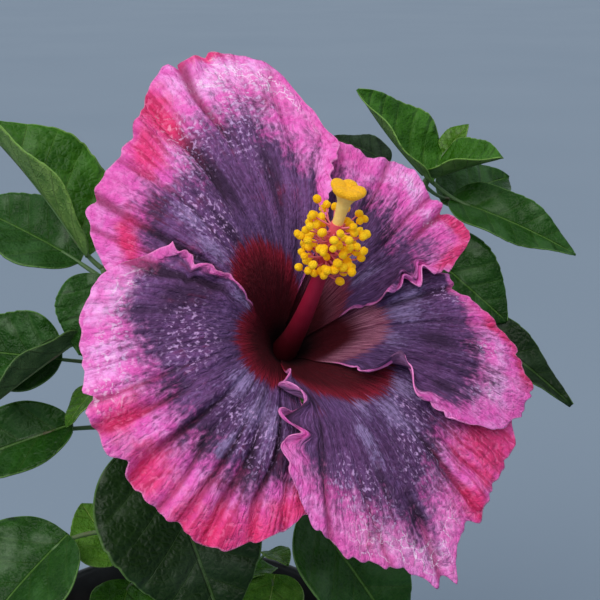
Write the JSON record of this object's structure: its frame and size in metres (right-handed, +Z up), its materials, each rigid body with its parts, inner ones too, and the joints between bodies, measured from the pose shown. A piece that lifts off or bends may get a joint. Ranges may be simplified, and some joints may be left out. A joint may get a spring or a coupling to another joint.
{
  "type": "potted hibiscus shrub",
  "caption": "Small hibiscus shrub in a round nursery pot: forked woody stem, glossy oval leaves and one large open five-petalled bloom with a long staminal column.",
  "frame": {"origin": "centre of the pot's flat underside", "axes": "+Z up along the pot's axis; the bloom looks out towards -Y, turned a little to +X and upwards"},
  "size_m": [0.3146, 0.3305, 0.4297],
  "materials": {
    "pot": "satin black plastic",
    "soil": "dull, granular",
    "bark": "rough grey-brown bark",
    "foliage": "waxy green leaf",
    "calyx": "smooth green",
    "petal": "soft velvety petal",
    "column": "smooth crimson",
    "pollen": "powdery yellow"
  },
  "bodies": {
    "root": {"pot": "pot", "soil": "soil", "trunk": "bark", "bough_left": "bark", "bough_front": "bark", "bough_right": "bark", "bough_back_left": "bark", "bough_back_right": "bark", "foliage_left": "foliage", "foliage_front": "foliage", "foliage_right": "foliage", "foliage_back_left": "foliage", "foliage_back_right": "foliage", "foliage_low": "foliage", "foliage_low_back": "foliage", "calyx": "calyx", "petal_upper_left": "petal", "petal_left": "petal", "petal_lower": "petal", "petal_right": "petal", "petal_upper_right": "petal", "column": "column", "stamens": "pollen", "stigma": "pollen"}
  },
  "joints": []
}
